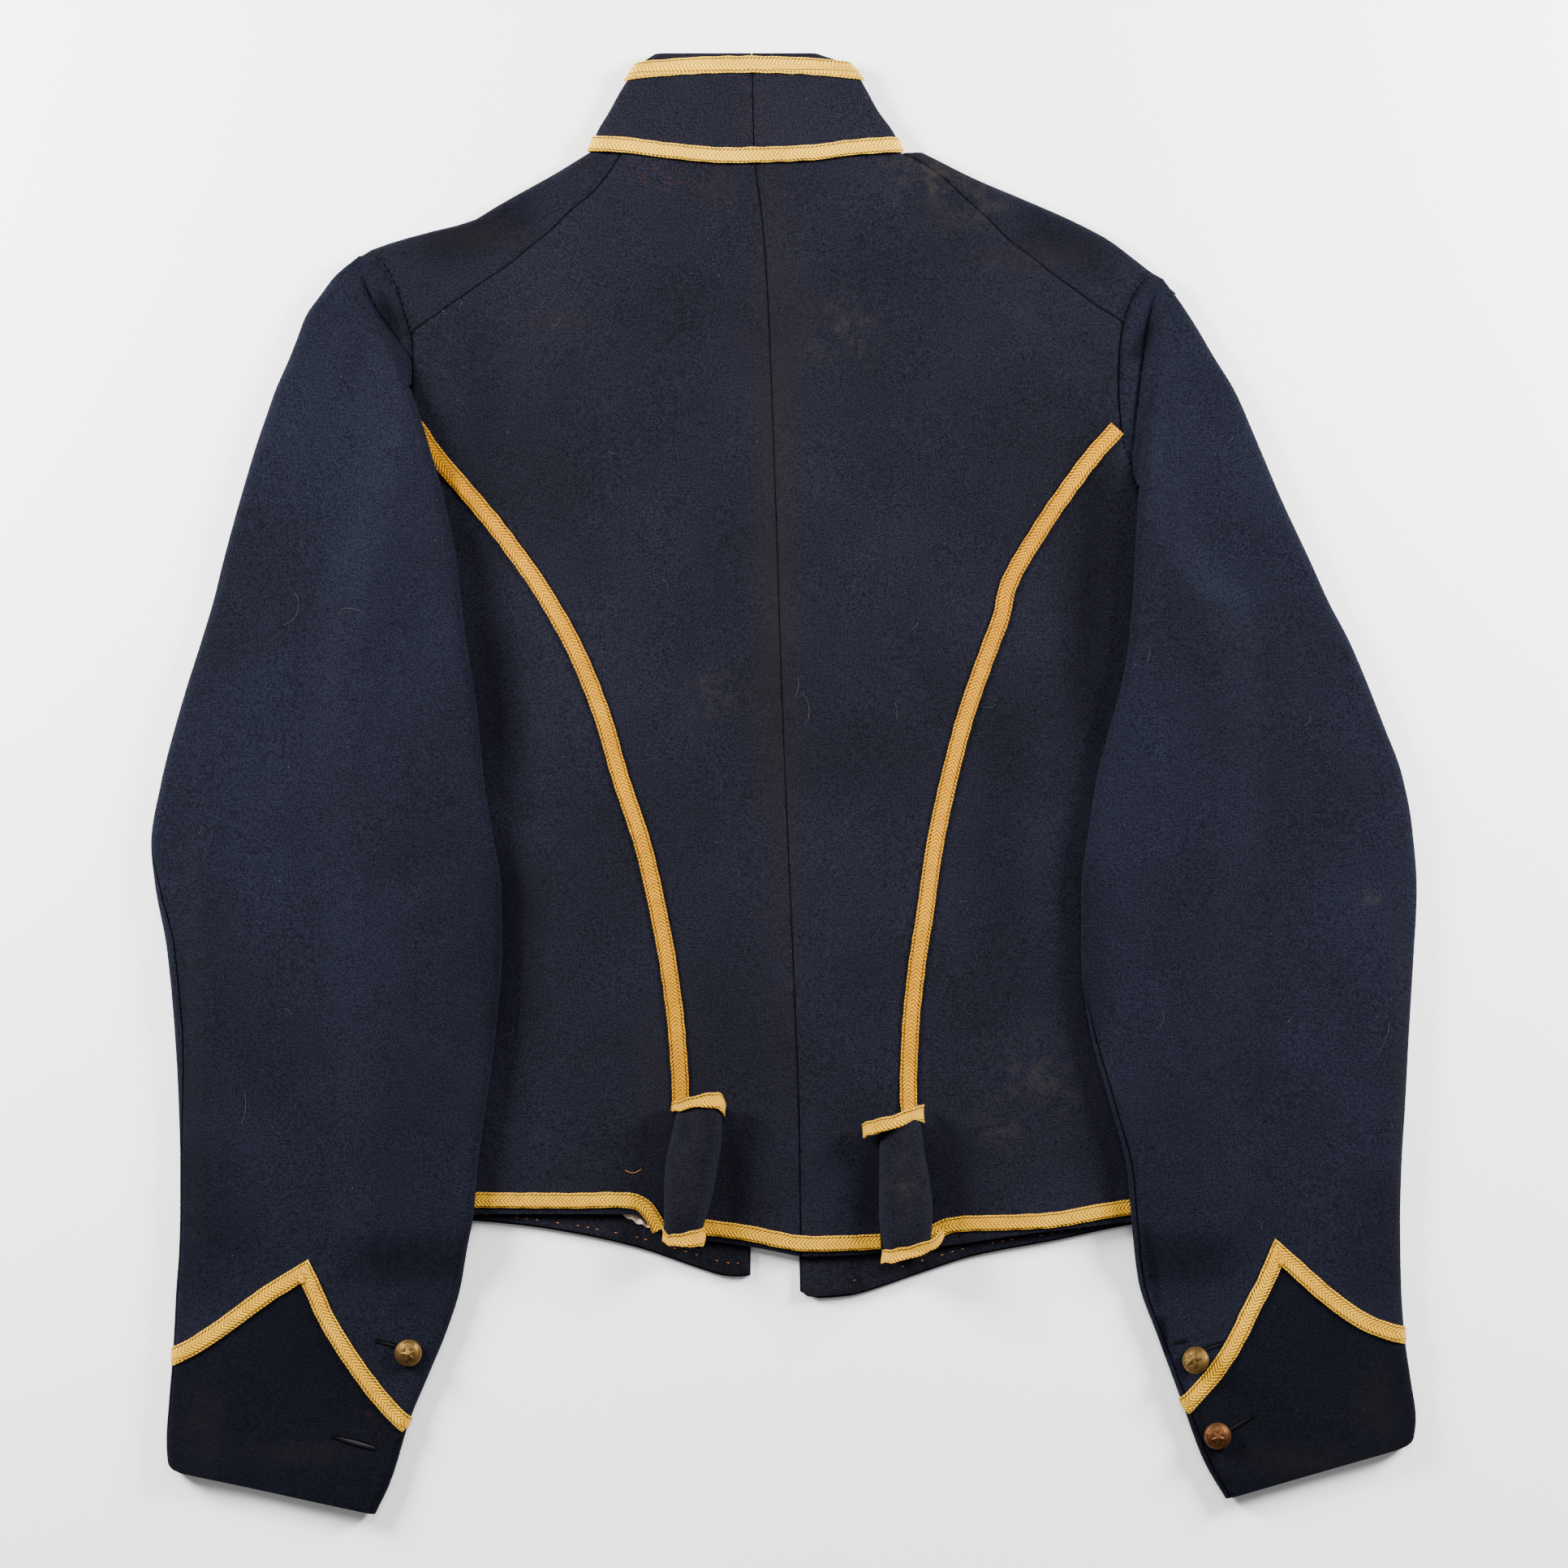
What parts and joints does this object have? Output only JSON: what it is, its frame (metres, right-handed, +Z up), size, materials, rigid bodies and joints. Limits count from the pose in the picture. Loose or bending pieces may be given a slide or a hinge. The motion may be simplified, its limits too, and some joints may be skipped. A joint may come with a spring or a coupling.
{
  "type": "mounted services jacket laid flat",
  "caption": "Short waist-length wool uniform jacket laid face down, with a standing collar, long sleeves with tape chevrons, taped seams and hem, and padded belt rolls at the back",
  "frame": {"origin": "the middle of the bounding box, on the surface that the jacket lies on", "axes": "+Y towards the collar, +X to the right in a view of the back, +Z up, out of the back"},
  "size_m": [0.6538, 0.754, 0.0237],
  "materials": {
    "navy_cloth": "fulled navy wool broadcloth, matt with a short nap",
    "sleeve_cloth": "fulled navy wool broadcloth, matt with a short nap",
    "facing_cloth": "dark wool facing, matt",
    "tape": "yellow worsted herringbone tape, slightly faded",
    "seam_tape": "deep yellow worsted herringbone tape",
    "lining": "plain cotton lining, cream and puckered",
    "button_brass": "aged gilt brass with a plain star in relief"
  },
  "bodies": {
    "root": {"back_left": "navy_cloth", "back_right": "navy_cloth", "front_left": "navy_cloth", "front_right": "navy_cloth", "collar_left": "navy_cloth", "collar_right": "navy_cloth", "sleeve_top_left": "sleeve_cloth", "sleeve_top_right": "sleeve_cloth", "sleeve_under_left": "sleeve_cloth", "sleeve_under_right": "sleeve_cloth", "facing_left": "facing_cloth", "facing_right": "facing_cloth", "lining_strip": "lining", "belt_roll_left": "navy_cloth", "belt_roll_right": "navy_cloth", "tape_collar_base": "tape", "tape_collar_top": "tape", "tape_seam_left": "seam_tape", "tape_seam_right": "seam_tape", "tape_hem_left": "tape", "tape_hem_centre": "tape", "tape_hem_right": "tape", "tape_cuff_left": "tape", "tape_cuff_right": "tape", "roll_tape_left_lower": "tape", "roll_tape_left_upper": "tape", "roll_tape_right_lower": "tape", "roll_tape_right_upper": "tape", "cuff_button_left_upper": "button_brass", "cuff_button_right_upper": "button_brass", "cuff_button_right_lower": "button_brass"}
  },
  "joints": []
}
